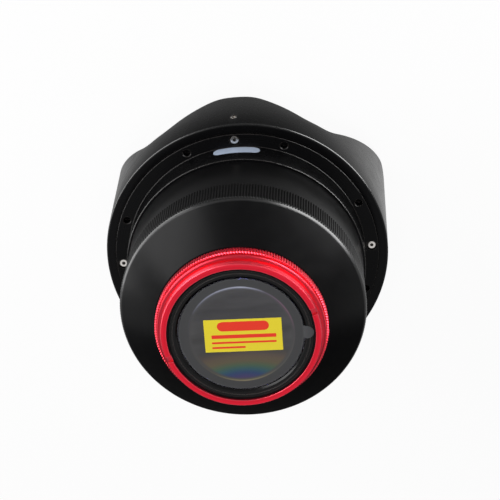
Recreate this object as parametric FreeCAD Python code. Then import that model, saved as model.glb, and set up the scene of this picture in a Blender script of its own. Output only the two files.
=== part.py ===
import FreeCAD, Part
import math
import os

# Underwater wide-angle wet lens, in millimetres.
# It stands on the two long lobes of its hood, with the lens axis along Z and the red mount on top.
# +Y runs through a short lobe, the top cap screw and the label strip. The long lobes are on X.
# Heights are measured from the lobes' tips. Rear means up, front means down.

# Clearances
slip_clearance = 0.1
thread_clearance = 0.05
screw_clearance = 0.02

# Hood with four lobes. Its lip sits on the dome bezel, and its rim angles run from the short lobe's axis.
hood_length = 67.8
hood_wall = 2.2
hood_lip = 3.8
hood_edge = 0.7
short_tip_height = 36.9
valley_height = 50.0
short_tip_angle = 7.3
short_valley_angle = 29.5
long_valley_angle = 40.7
long_tip_angle = 82.7
lobe_blend_angle = 3.6
tip_facing = 0.6
rim_steps = 120

# Dome glass, which sets the radius of all that holds it, and its seals
dome_edge_radius = 53.0
dome_edge_thickness = 4.4
dome_shelf = 4.7
dome_bulge = 5.7
dome_hollow = 4.3
dome_pocket = 0.5
dome_gasket_thickness = 0.6
dome_groove_offset = 3.4
dome_groove_width = 2.2
seal_depth = 1.7

# Cap screws (M2) sunk in counterbores, and grub screws (M3)
cap_head_radius = 1.9
cap_head_height = 2.0
cap_shank_radius = 1.0
cap_screw_length = 10.0
cap_socket = 1.5
cap_socket_depth = 1.0
cap_head_chamfer = 0.2
counterbore_radius = 2.3
counterbore_depth = 2.5
grub_radius = 1.5
grub_length = 3.2
grub_socket = 1.5
grub_socket_depth = 1.4
grub_tip = 0.6
grub_drop = 8.2
grub_sink = 0.2

# Flange with its collar, spigot, cap screws and tapped holes
screw_wall = 1.38
flange_rim = 2.9
flange_thickness = 4.8
collar_gap = 0.7
collar_length = 13.4
spigot_step = 3.7
spigot_wall = 4.7
screw_count = 4
tapped_count = 8
tapped_radius = 1.65
tapped_depth = 4.0
tapped_countersink = 0.35
edge_break = 0.3

# Dome bezel in front of the flange
bezel_step = 2.0
bezel_lip = 5.0
bezel_lip_gap = 0.9
bezel_flare = 2.8

# Rear housing: neck, knurled grip, shoulder, cone and the spigot that carries the mount ring
neck_wall = 2.6
neck_length = 22.7
grip_length = 13.4
grip_teeth = 263
knurl_root = 0.05
knurl_depth = 0.3
shoulder_step = 0.8
shoulder_length = 1.6
shoulder_land = 0.1
cone_length = 13.3
cone_margin = 0.3
housing_wall = 3.0
web_thickness = 3.0
ring_spigot_wall = 0.95
ring_spigot_length = 8.8

# Body seal on the flange's spigot
body_groove_depth = 1.3
body_groove_width = 2.0
body_groove_offset = 3.2

# Red mount ring
mount_thread_radius = 33.5
mount_thread_length = 3.3
mount_thread_chamfer = 0.35
mount_undercut_depth = 0.5
mount_undercut_width = 0.6
mount_wall = 2.6
bead_height = 1.6
bead_rise = 0.8
bead_width = 0.5
ring_groove_depth = 0.5
ring_groove_width = 0.5
ring_grip_step = 1.1
ring_grip_chamfer = 0.4
ring_grip_teeth = 185
ring_length = 9.8
spanner_slot_width = 3.0
spanner_slot_depth = 1.2
spanner_slot_angle = 16.0

# Rear lens, its ring and its seal
rear_seal_section = 0.9
rear_seal_shelf = 3.5
rear_seat_width = 2.7
rear_lens_edge = 5.9
rear_lens_step = 1.5
rear_lens_margin = 1.9
rear_lens_front_curve = 75.0
rear_lens_dish_radius = 22.0
rear_lens_dish_curve = 120.0
rear_ring_gap = 0.3
rear_ring_chamfer = 0.8

# Lens cell and the ring that holds it
cell_length = 19.5
cell_seat_width = 1.5
cell_lip = 4.0
cell_wall = 3.9
cell_web = 6.0
cell_end_margin = 1.5
cell_ring_length = 4.7
cell_ring_gap = 2.5
cell_ring_drop = 0.5

# Meniscus glass in the cell's front pocket
meniscus_edge = 5.3
meniscus_front_curve = 80.0
meniscus_rear_curve = 36.0
meniscus_rear_margin = 0.2
meniscus_pocket = 16.5
meniscus_ring_width = 2.4
meniscus_ring_length = 4.0

# Concave glass, spacer and cemented pair in the cell's tail
tail_step = 14.0
tail_ring_width = 3.0
concave_edge = 14.0
concave_front_curve = 90.0
concave_rear_curve = 60.0
spacer_length = 3.0
pair_front_edge = 2.5
pair_front_curve = 55.0
pair_joint_curve = 70.0
pair_rear_edge = 10.5
pair_rear_curve = 150.0
pair_ring_length = 3.5
baffle_thickness = 0.8
baffle_bore = 22.0

# Film on the rear glass, sticker on the film, strip on the collar
film_margin = 0.4
film_thickness = 0.1
film_tab_width = 5.8
film_tab_lap = 0.2
film_tab_angle = -1.7
sticker_width = 32.2
sticker_height = 15.2
sticker_thickness = 0.1
sticker_shift_x = 0.85
sticker_shift_y = -0.4
sticker_turn = -2.1
strip_width = 20.3
strip_height = 5.3
strip_thickness = 0.15
strip_offset = 0.9
strip_turn = -0.8

# Radii of the pieces that fit each other, worked from the dome, the tail's glasses and the mount's thread
screw_radius = dome_edge_radius + slip_clearance + screw_wall + cap_shank_radius + screw_clearance
flange_radius = screw_radius + flange_rim
bezel_radius = flange_radius + bezel_step
hood_radius = bezel_radius + slip_clearance + hood_wall
collar_radius = screw_radius - counterbore_radius - collar_gap
spigot_radius = collar_radius - spigot_step
cell_radius = spigot_radius - spigot_wall - slip_clearance
cell_lip_radius = cell_radius - cell_seat_width
meniscus_radius = cell_radius - cell_wall - slip_clearance
meniscus_ring_bore = meniscus_radius - meniscus_ring_width
dome_front_radius = dome_edge_radius - dome_shelf
dome_front_curve = dome_front_radius + dome_bulge
dome_rear_radius = cell_lip_radius - edge_break
dome_rear_curve = dome_rear_radius + dome_hollow
dome_groove_outer = dome_edge_radius - dome_groove_offset
dome_groove_inner = dome_groove_outer - dome_groove_width
bezel_lip_radius = dome_front_radius + bezel_lip_gap
bezel_mouth_radius = bezel_lip_radius + bezel_flare
neck_radius = spigot_radius + slip_clearance + neck_wall
shoulder_radius = neck_radius + shoulder_step
tail_glass_radius = cell_radius - tail_step
tail_clear_radius = tail_glass_radius - tail_ring_width
cell_tail_radius = tail_glass_radius + slip_clearance + cell_wall
cell_web_radius = tail_clear_radius
cell_ring_bore = cell_tail_radius + cell_ring_gap
meniscus_rear_radius = cell_web_radius - meniscus_rear_margin
mount_bore = mount_thread_radius - mount_wall
ring_spigot_radius = mount_bore - thread_clearance
bead_radius = mount_thread_radius + bead_height
ring_groove_radius = bead_radius - ring_groove_depth
ring_grip_radius = bead_radius + ring_grip_step
cone_top_radius = ring_grip_radius + cone_margin
rear_bore_radius = ring_spigot_radius - ring_spigot_wall
rear_lens_radius = rear_bore_radius - 2 * rear_seal_section
rear_seat_radius = rear_lens_radius + slip_clearance - rear_seat_width
rear_lens_face_radius = rear_lens_radius - rear_lens_margin
rear_ring_bore = rear_lens_face_radius + rear_ring_gap
film_radius = rear_lens_face_radius - film_margin
film_tab_reach = rear_bore_radius + film_tab_lap

# Heights of the faces that meet, worked up from the lobes' tips
bezel_rear = hood_length - hood_lip
flange_rear = bezel_rear + flange_thickness
collar_rear = flange_rear + collar_length
grip_front = collar_rear + neck_length
grip_rear = grip_front + grip_length
cone_start = grip_rear + shoulder_length
cone_end = cone_start + cone_length
ring_face = cone_end + ring_length
spigot_face = cone_end + ring_spigot_length
dome_seat = bezel_rear + dome_pocket
dome_front = dome_seat - dome_edge_thickness
gasket_front = dome_front - dome_gasket_thickness
bezel_front = gasket_front - bezel_lip
cell_seat = dome_seat + cell_lip
cell_shoulder = cell_seat + cell_length
spigot_end = cell_shoulder + cell_ring_length + cell_ring_drop
meniscus_seat = cell_seat + meniscus_pocket
concave_seat = meniscus_seat + cell_web
spacer_front = concave_seat + concave_edge
pair_front = spacer_front + spacer_length
pair_joint = pair_front + pair_front_edge
pair_rear = pair_joint + pair_rear_edge
cell_end = pair_rear + pair_ring_length + cell_end_margin
rear_face = spigot_face - rear_ring_chamfer + slip_clearance
rear_step = rear_face - rear_lens_step
rear_seat = rear_step - rear_lens_edge
rear_seal_floor = rear_seat + rear_seal_shelf


def sagitta(curve, radius):
    """Depth of a sphere's cap of that radius."""
    return curve - math.sqrt(curve ** 2 - radius ** 2)


def turn(outline):
    """Solid turned about Z. An outline point is (radius, height), or with two more for an arc's middle."""
    edges = []
    start = FreeCAD.Vector(outline[0][0], 0, outline[0][1])
    here = start
    for point in outline[1:] + [outline[0][:2]]:
        there = FreeCAD.Vector(point[0], 0, point[1])
        if here.distanceToPoint(there) > 1e-6:
            if len(point) == 4:
                middle = FreeCAD.Vector(point[2], 0, point[3])
                edges.append(Part.Arc(here, middle, there).toShape())
            else:
                edges.append(Part.LineSegment(here, there).toShape())
        here = there
    face = Part.Face(Part.Wire(edges))
    return face.revolve(FreeCAD.Vector(0, 0, 0), FreeCAD.Vector(0, 0, 1), 360)


def glass(front_radius, front_curve, rim, rear_radius, rear_curve):
    """Lens turned from two polished spheres and a ground rim. A curve is minus where the face is hollow."""
    front_sign = math.copysign(1, front_curve)
    rear_sign = math.copysign(1, rear_curve)
    front_depth = front_sign * sagitta(abs(front_curve), front_radius)
    rear_depth = rear_sign * sagitta(abs(rear_curve), rear_radius)
    front_pole = rim[0][1] - front_depth
    rear_pole = rim[-1][1] + rear_depth
    front_half = front_sign * sagitta(abs(front_curve), front_radius / 2)
    rear_half = rear_sign * sagitta(abs(rear_curve), rear_radius / 2)
    outline = [(0, front_pole)]
    outline.append((front_radius, rim[0][1], front_radius / 2, front_pole + front_half))
    outline += rim
    outline.append((rear_radius, rim[-1][1]))
    outline.append((0, rear_pole, rear_radius / 2, rear_pole - rear_half))
    return turn(outline)


def ring(inner, outer, bottom, top):
    """Plain turned ring."""
    return turn([(inner, bottom), (outer, bottom), (outer, top), (inner, top)])


def seal(centre_radius, height, section_radius):
    """Rubber ring with an eight-sided section."""
    outline = []
    for side in range(8):
        angle = math.radians(22.5 + 45 * side)
        reach = section_radius / math.cos(math.radians(22.5))
        outline.append((centre_radius + reach * math.cos(angle), height + reach * math.sin(angle)))
    return turn(outline)


def around(shape, count, first_angle):
    """Copies of a shape spread evenly about Z."""
    copies = []
    for number in range(count):
        copy = shape.copy()
        copy.rotate(FreeCAD.Vector(0, 0, 0), FreeCAD.Vector(0, 0, 1), first_angle + 360 * number / count)
        copies.append(copy)
    return copies


def drill(radius, depth, x, y, top):
    """Straight hole's core that reaches down from a height."""
    return Part.makeCylinder(radius, depth, FreeCAD.Vector(x, y, top - depth))


def hexagon(across_flats, depth, top):
    """Core of a hex socket that reaches down from a height."""
    corner = across_flats / math.sqrt(3)
    corners = []
    for number in range(7):
        angle = math.radians(60 * number)
        corners.append(FreeCAD.Vector(corner * math.cos(angle), corner * math.sin(angle), top - depth))
    return Part.Face(Part.makePolygon(corners)).extrude(FreeCAD.Vector(0, 0, depth))


def knurl(base_radius, teeth, bottom, top):
    """Straight-toothed band on a cylinder: a star-shaped prism, bored so that it sinks into the wall."""
    root = base_radius + knurl_root
    corners = []
    for number in range(2 * teeth + 1):
        radius = root + knurl_depth * (number % 2)
        angle = math.pi * number / teeth
        corners.append(FreeCAD.Vector(radius * math.cos(angle), radius * math.sin(angle), bottom))
    star = Part.Face(Part.makePolygon(corners)).extrude(FreeCAD.Vector(0, 0, top - bottom))
    bore_radius = base_radius - 2 * knurl_depth
    return star.cut(Part.makeCylinder(bore_radius, top - bottom, FreeCAD.Vector(0, 0, bottom)))


def save(name, shape):
    shape.exportStep("parts/" + name + ".step")


def blend(angle):
    """Ramp that starts at zero with a parabolic bend, so a corner between two slopes is rounded."""
    if angle <= -lobe_blend_angle:
        return 0.0
    if angle >= lobe_blend_angle:
        return angle
    return (angle + lobe_blend_angle) ** 2 / (4 * lobe_blend_angle)


def rim_height(angle):
    """Height of the hood's rim at an angle from the short lobe's axis: flat tips and valleys, even flanks."""
    folded = angle % 180
    folded = min(folded, 180 - folded)
    short_slope = (valley_height - short_tip_height) / (short_valley_angle - short_tip_angle)
    long_slope = (valley_height + tip_facing) / (long_tip_angle - long_valley_angle)
    height = short_tip_height
    height += short_slope * (blend(folded - short_tip_angle) - blend(folded - short_valley_angle))
    height -= long_slope * (blend(folded - long_valley_angle) - blend(folded - long_tip_angle))
    return height


def rim_curve(radius):
    """Closed rim line at one radius."""
    points = []
    for step in range(rim_steps):
        angle = 360 * step / rim_steps
        x = radius * math.sin(math.radians(angle))
        y = radius * math.cos(math.radians(angle))
        points.append(FreeCAD.Vector(x, y, rim_height(angle)))
    curve = Part.BSplineCurve()
    curve.interpolate(points, PeriodicFlag=True)
    return curve.toShape()


def lens_hood():
    """Tube with a lip at the rear, faced flat at the front, then trimmed along the rim."""
    bore = hood_radius - hood_wall
    outline = [(bore, 0), (hood_radius, 0), (hood_radius, hood_length - hood_edge)]
    outline += [(hood_radius - hood_edge, hood_length), (flange_radius + slip_clearance, hood_length)]
    outline += [(flange_radius + slip_clearance, bezel_rear), (bore, bezel_rear)]
    rim_surface = Part.makeRuledSurface(rim_curve(hood_radius + hood_wall), rim_curve(bore - hood_wall))
    pieces = turn(outline).generalFuse([rim_surface])[0].Solids
    hood = max(pieces, key=lambda piece: piece.CenterOfMass.z)
    start = FreeCAD.Vector(bore - hood_wall, 0, hood_length - grub_drop)
    hole = Part.makeCylinder(grub_radius + screw_clearance, 3 * hood_wall, start, FreeCAD.Vector(1, 0, 0))
    return hood.cut(around(hole, screw_count, 0))


def hood_grub_screws():
    """Grub screws through the hood's wall, with their points in the bezel's dimples."""
    outer = hood_radius - grub_sink
    body = turn([(0, 0), (grub_radius - grub_tip, 0), (grub_radius, grub_tip),
                 (grub_radius, grub_length), (0, grub_length)])
    screw = body.cut(hexagon(grub_socket, grub_socket_depth, grub_length))
    screw.rotate(FreeCAD.Vector(0, 0, 0), FreeCAD.Vector(0, 1, 0), 90)
    screw.translate(FreeCAD.Vector(outer - grub_length, 0, hood_length - grub_drop))
    return Part.makeCompound(around(screw, screw_count, 0))


def dome_bezel():
    """Front ring: its lip holds the dome's rim, and the cap screws pull it up against the flange."""
    chamfer = 2 * edge_break
    outline = [(bezel_mouth_radius, bezel_front), (bezel_radius - chamfer, bezel_front)]
    outline += [(bezel_radius, bezel_front + chamfer), (bezel_radius, bezel_rear)]
    outline += [(dome_edge_radius + slip_clearance, bezel_rear)]
    outline += [(dome_edge_radius + slip_clearance, gasket_front), (bezel_lip_radius, gasket_front)]
    bezel = turn(outline)
    depth = cap_screw_length - flange_thickness + counterbore_depth + edge_break
    tapped = drill(cap_shank_radius + screw_clearance, depth, screw_radius, 0, bezel_rear)
    tip_radius = hood_radius - grub_sink - grub_length - screw_clearance
    point = FreeCAD.Vector(tip_radius, 0, hood_length - grub_drop)
    dimple = Part.makeCylinder(grub_radius + screw_clearance, hood_radius, point, FreeCAD.Vector(1, 0, 0))
    return bezel.cut(around(tapped, screw_count, 0) + around(dimple, screw_count, 0))


def front_flange():
    """Screw flange, collar and spigot turned in one piece, with the dome's seat and the cell's bore."""
    bore = cell_radius + slip_clearance
    groove_bottom = collar_rear + body_groove_offset
    groove_top = groove_bottom + body_groove_width
    groove_floor = spigot_radius - body_groove_depth
    outline = [(cell_lip_radius, dome_seat), (dome_groove_inner, dome_seat)]
    outline += [(dome_groove_inner, dome_seat + seal_depth), (dome_groove_outer, dome_seat + seal_depth)]
    outline += [(dome_groove_outer, dome_seat), (dome_edge_radius + slip_clearance, dome_seat)]
    outline += [(dome_edge_radius + slip_clearance, bezel_rear), (flange_radius, bezel_rear)]
    outline += [(flange_radius, flange_rear - edge_break), (flange_radius - edge_break, flange_rear)]
    outline += [(collar_radius, flange_rear), (collar_radius, collar_rear - edge_break)]
    outline += [(collar_radius - edge_break, collar_rear), (spigot_radius, collar_rear)]
    outline += [(spigot_radius, groove_bottom), (groove_floor, groove_bottom)]
    outline += [(groove_floor, groove_top), (spigot_radius, groove_top)]
    outline += [(spigot_radius, spigot_end - edge_break), (spigot_radius - edge_break, spigot_end)]
    outline += [(bore, spigot_end), (bore, cell_seat), (cell_lip_radius, cell_seat)]
    flange = turn(outline)
    passage_radius = cap_shank_radius + screw_clearance
    passage = drill(passage_radius, 2 * flange_thickness, screw_radius, 0, flange_rear + edge_break)
    counterbore = drill(counterbore_radius, counterbore_depth, screw_radius, 0, flange_rear)
    tapped = drill(tapped_radius, tapped_depth, screw_radius, 0, flange_rear)
    sink = Part.makeCone(tapped_radius, tapped_radius + tapped_countersink, tapped_countersink,
                         FreeCAD.Vector(screw_radius, 0, flange_rear - tapped_countersink))
    first = 180 / tapped_count
    cuts = around(passage, screw_count, 0) + around(counterbore, screw_count, 0)
    cuts += around(tapped, tapped_count, first) + around(sink, tapped_count, first)
    return flange.cut(cuts)


def flange_cap_screws():
    """Socket-head screws whose heads lie in the flange's counterbores."""
    shoulder = cap_head_height - cap_head_chamfer
    body = turn([(0, -cap_screw_length), (cap_shank_radius, -cap_screw_length), (cap_shank_radius, 0),
                 (cap_head_radius, 0), (cap_head_radius, shoulder),
                 (cap_head_radius - cap_head_chamfer, cap_head_height), (0, cap_head_height)])
    screw = body.cut(hexagon(cap_socket, cap_socket_depth, cap_head_height))
    screw.translate(FreeCAD.Vector(screw_radius, 0, flange_rear - counterbore_depth))
    return Part.makeCompound(around(screw, screw_count, 0))


def rear_housing():
    """Neck, grip band, rounded shoulder, cone and rear spigot turned in one piece, hollow behind the cone."""
    bore = spigot_radius + slip_clearance
    run = shoulder_radius - cone_top_radius
    lean = math.atan2(run, cone_length)
    tangent = shoulder_length - shoulder_land
    bend_radius = tangent / math.tan(lean / 2)
    bend_start = cone_start - tangent
    bend_end = (shoulder_radius - tangent * math.sin(lean), cone_start + tangent * math.cos(lean))
    bend_middle = (shoulder_radius - bend_radius * (1 - math.cos(lean / 2)),
                   bend_start + bend_radius * math.sin(lean / 2))
    web_bottom = rear_seat - web_thickness
    inner_top = cone_top_radius - housing_wall * math.cos(lean)
    inner_height = cone_end - housing_wall * math.sin(lean)
    web_radius = inner_top + (inner_height - web_bottom) * math.tan(lean)
    cavity_bottom = inner_height - (bore - inner_top) / math.tan(lean)
    outline = [(bore, collar_rear), (neck_radius, collar_rear)]
    outline += [(neck_radius, grip_rear), (shoulder_radius, grip_rear), (shoulder_radius, bend_start)]
    outline += [bend_end + bend_middle]
    outline += [(cone_top_radius, cone_end), (ring_spigot_radius, cone_end)]
    outline += [(ring_spigot_radius, spigot_face), (rear_bore_radius, spigot_face)]
    outline += [(rear_bore_radius, rear_seal_floor), (rear_lens_radius + slip_clearance, rear_seal_floor)]
    outline += [(rear_lens_radius + slip_clearance, rear_seat), (rear_seat_radius, rear_seat)]
    outline += [(rear_seat_radius, web_bottom), (web_radius, web_bottom), (bore, cavity_bottom)]
    return turn(outline).fuse(knurl(neck_radius, grip_teeth, grip_front, grip_rear)).removeSplitter()


def mount_ring():
    """Red ring: male thread, undercut, bead, groove and grip band, with two spanner slots in its face."""
    bead_front = ring_face - mount_thread_length - mount_undercut_width
    bead_back = bead_front - bead_rise
    groove_back = bead_back - bead_width
    grip_back = groove_back - ring_groove_width
    grip_root = ring_grip_radius - knurl_depth - knurl_root
    outline = [(mount_bore, cone_end), (grip_root, cone_end), (grip_root, grip_back - ring_grip_chamfer)]
    outline += [(grip_root - ring_grip_chamfer, grip_back), (ring_groove_radius, grip_back)]
    outline += [(ring_groove_radius, groove_back), (bead_radius, groove_back), (bead_radius, bead_back)]
    bead_middle = (bead_radius - bead_rise * 0.3, bead_front - bead_rise * 0.3)
    undercut_radius = mount_thread_radius - mount_undercut_depth
    outline += [(bead_radius - bead_rise, bead_front) + bead_middle, (undercut_radius, bead_front)]
    outline += [(undercut_radius, ring_face - mount_thread_length)]
    outline += [(mount_thread_radius, ring_face - mount_thread_length)]
    outline += [(mount_thread_radius, ring_face - mount_thread_chamfer)]
    outline += [(mount_thread_radius - mount_thread_chamfer, ring_face), (mount_bore, ring_face)]
    corner = FreeCAD.Vector(mount_bore - mount_wall, -spanner_slot_width / 2, ring_face - spanner_slot_depth)
    slot = Part.makeBox(ring_grip_radius, spanner_slot_width, 2 * spanner_slot_depth, corner)
    grip = knurl(grip_root, ring_grip_teeth, cone_end + ring_grip_chamfer, grip_back - ring_grip_chamfer)
    return turn(outline).fuse(grip).removeSplitter().cut(around(slot, 2, spanner_slot_angle))


def rear_retaining_ring():
    """Threaded ring that presses the rear seal and holds the lens by its step."""
    seal_top = rear_seal_floor + 2 * rear_seal_section
    outer = rear_bore_radius - thread_clearance
    inner_step = rear_lens_radius + slip_clearance
    outline = [(rear_ring_bore, rear_step), (inner_step, rear_step)]
    outline += [(inner_step, seal_top), (outer, seal_top)]
    outline += [(outer, spigot_face), (rear_ring_bore + rear_ring_chamfer, spigot_face)]
    outline += [(rear_ring_bore, spigot_face - rear_ring_chamfer)]
    return turn(outline)


def lens_cell():
    """Stepped tube: a front pocket for the meniscus, a web, and a tail bored for the rear group."""
    pocket = meniscus_radius + slip_clearance
    tail_bore = tail_glass_radius + slip_clearance
    outline = [(pocket, cell_seat), (cell_radius, cell_seat), (cell_radius, cell_shoulder)]
    outline += [(cell_tail_radius, cell_shoulder), (cell_tail_radius, cell_end), (tail_bore, cell_end)]
    outline += [(tail_bore, concave_seat), (cell_web_radius, concave_seat), (cell_web_radius, meniscus_seat)]
    outline += [(pocket, meniscus_seat)]
    return turn(outline)


def sticker_place(shape):
    """Lays a flat shape drawn round the origin on the film."""
    shape.rotate(FreeCAD.Vector(0, 0, 0), FreeCAD.Vector(0, 0, 1), sticker_turn)
    shape.translate(FreeCAD.Vector(sticker_shift_x, sticker_shift_y, rear_face + film_thickness))
    return shape


def protective_film():
    """Round film on the rear glass, with a tab that climbs onto the retaining ring."""
    climb = spigot_face - rear_face
    ramp_start = rear_ring_bore - rear_ring_chamfer
    half = film_tab_width / 2
    ramp_end = math.sqrt((rear_ring_bore + rear_ring_chamfer) ** 2 - half ** 2)
    disc = Part.makeCylinder(film_radius, film_thickness, FreeCAD.Vector(0, 0, rear_face))
    path = [(film_radius - 2 * rear_ring_chamfer, 0), (ramp_start, 0)]
    path += [(ramp_end, climb), (film_tab_reach, climb)]
    corners = [FreeCAD.Vector(x, 0, rear_face + z) for x, z in path]
    corners += [corner + FreeCAD.Vector(0, 0, film_thickness) for corner in reversed(corners)]
    side = Part.Face(Part.makePolygon(corners + corners[:1]))
    side.translate(FreeCAD.Vector(0, -half, 0))
    strip = side.extrude(FreeCAD.Vector(0, film_tab_width, 0))
    shaft = Part.makeBox(film_tab_reach - half, film_tab_width, 4 * climb,
                         FreeCAD.Vector(0, -half, rear_face - climb))
    end = Part.makeCylinder(half, 4 * climb, FreeCAD.Vector(film_tab_reach - half, 0, rear_face - climb))
    tab = strip.common(shaft.fuse(end))
    tab.rotate(FreeCAD.Vector(0, 0, 0), FreeCAD.Vector(0, 0, 1), film_tab_angle)
    return disc.fuse(tab).removeSplitter()


def notice_sticker():
    """Thin rectangle on the film."""
    corner = FreeCAD.Vector(-sticker_width / 2, -sticker_height / 2, 0)
    return sticker_place(Part.makeBox(sticker_width, sticker_height, sticker_thickness, corner))


def label_strip():
    """Thin strip with round ends, wrapped on the collar's wall at its foot."""
    half = strip_height / 2
    middle = flange_rear + strip_offset + half
    straight = strip_width / 2 - half
    band = ring(collar_radius, collar_radius + strip_thickness, middle - half, middle + half)
    window = Part.makeBox(2 * straight, collar_radius * 2, strip_height,
                          FreeCAD.Vector(-straight, 0, middle - half))
    for side in (-straight, straight):
        centre = FreeCAD.Vector(side, 0, middle)
        window = window.fuse(Part.makeCylinder(half, collar_radius * 2, centre, FreeCAD.Vector(0, 1, 0)))
    strip = band.common(window)
    strip.rotate(FreeCAD.Vector(0, 0, 0), FreeCAD.Vector(0, 0, 1), strip_turn)
    return strip


os.makedirs("parts", exist_ok=True)

dome_rim = [(dome_edge_radius, dome_front), (dome_edge_radius, dome_seat)]
meniscus_rim = [(meniscus_radius, meniscus_seat - meniscus_edge), (meniscus_radius, meniscus_seat)]
concave_rim = [(tail_glass_radius, concave_seat), (tail_glass_radius, spacer_front)]
pair_front_rim = [(tail_glass_radius, pair_front), (tail_glass_radius, pair_joint)]
pair_rear_rim = [(tail_glass_radius, pair_joint), (tail_glass_radius, pair_rear)]
rear_rim = [(rear_lens_radius, rear_seat), (rear_lens_radius, rear_step)]
rear_rim += [(rear_lens_face_radius, rear_step), (rear_lens_face_radius, rear_face)]
meniscus_pole = meniscus_seat - meniscus_edge - sagitta(meniscus_front_curve, meniscus_radius)
meniscus_ring_rear = meniscus_pole + sagitta(meniscus_front_curve, meniscus_ring_bore)
dome_groove_middle = (dome_groove_inner + dome_groove_outer) / 2
body_seal_radius = spigot_radius + slip_clearance - (body_groove_depth + slip_clearance) / 2
body_seal_height = collar_rear + body_groove_offset + body_groove_width / 2
tail_ring_outer = tail_glass_radius + slip_clearance - thread_clearance

save("lens_hood", lens_hood())
save("hood_grub_screws", hood_grub_screws())
save("dome_bezel", dome_bezel())
save("dome_gasket", ring(bezel_lip_radius, dome_edge_radius, gasket_front, dome_front))
save("dome_lens", glass(dome_front_radius, dome_front_curve, dome_rim, dome_rear_radius, -dome_rear_curve))
save("dome_o_ring", seal(dome_groove_middle, dome_seat + seal_depth / 2, seal_depth / 2))
save("front_flange", front_flange())
save("flange_cap_screws", flange_cap_screws())
save("body_o_ring", seal(body_seal_radius, body_seal_height, (body_groove_depth + slip_clearance) / 2))
save("lens_cell", lens_cell())
save("cell_retaining_ring", ring(cell_ring_bore, cell_radius + slip_clearance - thread_clearance,
                                 cell_shoulder, cell_shoulder + cell_ring_length))
save("meniscus_lens", glass(meniscus_radius, meniscus_front_curve, meniscus_rim,
                            meniscus_rear_radius, -meniscus_rear_curve))
save("meniscus_retaining_ring", ring(meniscus_ring_bore, meniscus_radius + slip_clearance - thread_clearance,
                                     meniscus_ring_rear - meniscus_ring_length, meniscus_ring_rear))
save("concave_lens", glass(tail_clear_radius, -concave_front_curve, concave_rim,
                           tail_clear_radius, -concave_rear_curve))
save("spacer_ring", ring(tail_clear_radius, tail_glass_radius, spacer_front, pair_front))
save("doublet_front_lens", glass(tail_clear_radius, pair_front_curve, pair_front_rim,
                                 tail_glass_radius, pair_joint_curve))
save("doublet_rear_lens", glass(tail_glass_radius, -pair_joint_curve, pair_rear_rim,
                                tail_clear_radius, pair_rear_curve))
save("doublet_retaining_ring", ring(tail_clear_radius, tail_ring_outer,
                                    pair_rear, pair_rear + pair_ring_length))
save("light_baffle", ring(baffle_bore, cell_tail_radius, cell_end, cell_end + baffle_thickness))
save("rear_housing", rear_housing())
save("rear_lens", glass(rear_seat_radius, rear_lens_front_curve, rear_rim,
                        rear_lens_dish_radius, -rear_lens_dish_curve))
save("rear_o_ring", seal((rear_bore_radius + rear_lens_radius) / 2, rear_seal_floor + rear_seal_section,
                         rear_seal_section))
save("rear_retaining_ring", rear_retaining_ring())
save("mount_ring", mount_ring())
save("protective_film", protective_film())
save("notice_sticker", notice_sticker())
save("label_strip", label_strip())
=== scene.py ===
import math

import bmesh
import bpy
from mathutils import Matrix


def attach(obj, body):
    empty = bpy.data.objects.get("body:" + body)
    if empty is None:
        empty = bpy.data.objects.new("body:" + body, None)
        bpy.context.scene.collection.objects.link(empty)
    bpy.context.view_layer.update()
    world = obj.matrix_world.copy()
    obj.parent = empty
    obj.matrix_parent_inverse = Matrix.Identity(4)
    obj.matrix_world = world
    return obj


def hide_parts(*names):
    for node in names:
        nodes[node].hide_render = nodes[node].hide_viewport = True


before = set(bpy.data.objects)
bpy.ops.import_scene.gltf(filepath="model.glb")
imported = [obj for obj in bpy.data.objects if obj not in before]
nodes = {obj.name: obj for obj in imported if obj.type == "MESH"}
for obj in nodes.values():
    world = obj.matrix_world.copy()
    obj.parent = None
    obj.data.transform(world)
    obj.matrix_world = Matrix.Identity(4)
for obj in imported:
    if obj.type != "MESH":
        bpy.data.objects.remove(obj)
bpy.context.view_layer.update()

# Rear housing. Black anodised aluminium, turned in one piece: smooth neck, toothed grip band, rounded
# shoulder, cone and the spigot under the red ring. It slides over the flange's spigot, and a rubber ring
# seals it.

mm = 0.001
black_dye = (0.0025, 0.0025, 0.0028, 1)
# Paler colour of edges: partly wear, partly a painted highlight along them.
worn_and_gleaming_edge = (0.075, 0.066, 0.062, 1)


def deselect_all():
    if bpy.context.object and bpy.context.object.mode != "OBJECT":
        bpy.ops.object.mode_set(mode="OBJECT")
    bpy.ops.object.select_all(action="DESELECT")


def take(piece):
    """Selects one piece alone."""
    deselect_all()
    piece.select_set(True)
    bpy.context.view_layer.objects.active = piece


def eased(outline):
    """Outline of (radius, height, easing): a corner with an easing becomes a small round of that reach."""
    points = []
    for number, corner in enumerate(outline):
        radius, height = corner[:2]
        easing = corner[2] if len(corner) > 2 else 0
        if not easing:
            points.append((radius, height))
            continue
        before, after = outline[number - 1], outline[(number + 1) % len(outline)]
        ends = []
        for other in (before, after):
            length = math.hypot(other[0] - radius, other[1] - height)
            share = easing / length
            ends.append((radius + (other[0] - radius) * share, height + (other[1] - height) * share))
        for step in range(4):
            along = step / 3
            first, middle, last = (1 - along) ** 2, 2 * along * (1 - along), along ** 2
            points.append(tuple(first * ends[0][axis] + middle * corner[axis] + last * ends[1][axis]
                                for axis in (0, 1)))
    return points


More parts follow.
